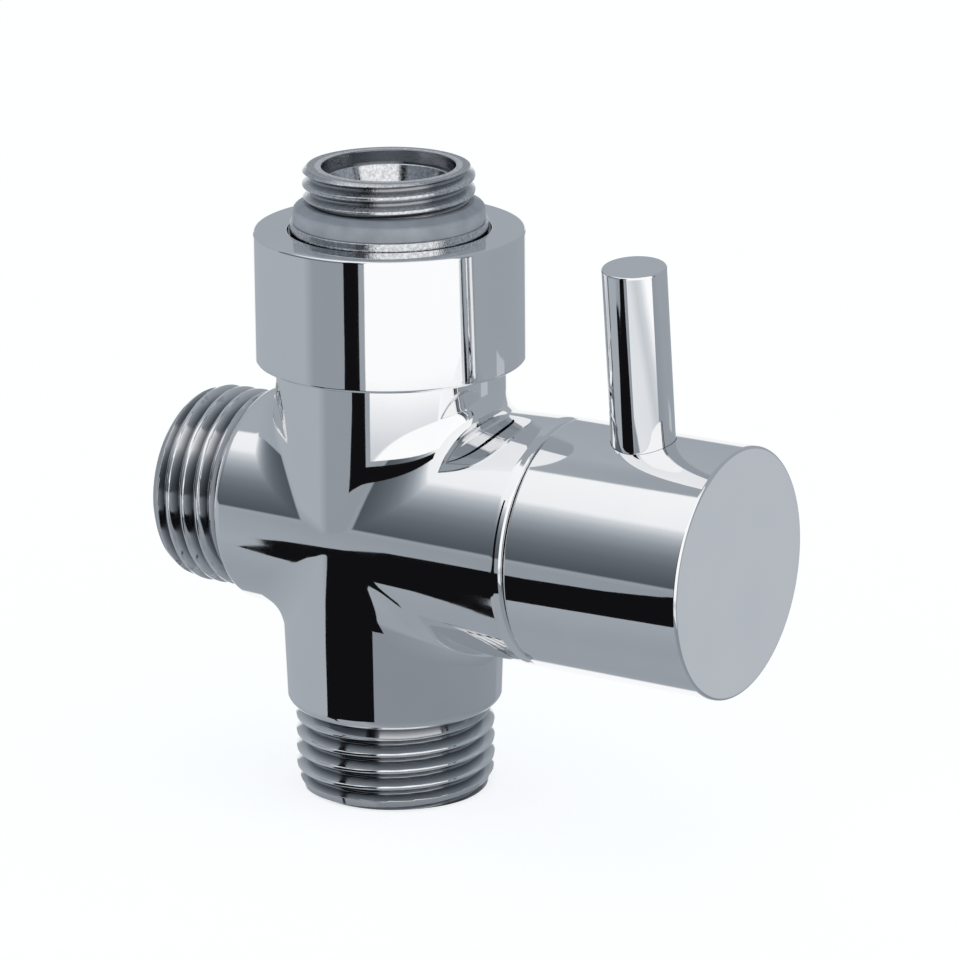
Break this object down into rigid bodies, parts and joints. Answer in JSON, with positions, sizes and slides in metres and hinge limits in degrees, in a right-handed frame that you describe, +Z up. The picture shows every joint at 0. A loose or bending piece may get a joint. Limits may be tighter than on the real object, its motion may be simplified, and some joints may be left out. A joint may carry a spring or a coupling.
{
  "type": "shower diverter valve",
  "caption": "Chromed cross-shaped shower diverter: inlet adapter in a swivel collar on top, threaded outlets below and at the side, round knob with a pin lever.",
  "frame": {"origin": "on the inlet thread's axis, in the sealing plane of the inlet washer", "axes": "+Z up along the inlet thread, the way the supply pipe leaves; +X along the knob's axis, from the body out to the knob"},
  "size_m": [0.0652, 0.028, 0.0668],
  "materials": {
    "chrome": "polished chrome plate",
    "plated_adapter": "machined and nickel plated, with fine turning marks",
    "pale_rubber": "matt pale grey rubber",
    "black_rubber": "matt black rubber",
    "brass": "turned brass",
    "white_plastic": "moulded white plastic",
    "steel": "plain stainless wire and screw steel"
  },
  "bodies": {
    "inlet": {"collar": "chrome", "union_washer": "black_rubber", "inlet_adapter": "plated_adapter", "inlet_washer": "pale_rubber"},
    "valve": {"valve_body": "chrome", "side_seat": "white_plastic", "gland_gasket": "black_rubber", "gland_nut": "brass", "thrust_washer": "white_plastic", "stop_ring": "white_plastic", "collar_ring": "steel"},
    "knob": {"diverter_plug": "white_plastic", "plug_o_ring": "black_rubber", "stem": "brass", "stem_o_ring_inner": "black_rubber", "stem_o_ring_outer": "black_rubber", "knob": "chrome", "lever": "chrome", "grub_screw": "steel"}
  },
  "joints": [
    {"name": "body_swivel", "type": "hinge", "parent": "inlet", "child": "valve", "pos_m": [0, 0, 0], "axis": [0, 0, 1], "continuous": true},
    {"name": "lever_turn", "type": "hinge", "parent": "valve", "child": "knob", "pos_m": [0, 0, -0.03285], "axis": [1, 0, 0], "range_deg": [-6, 84]}
  ]
}
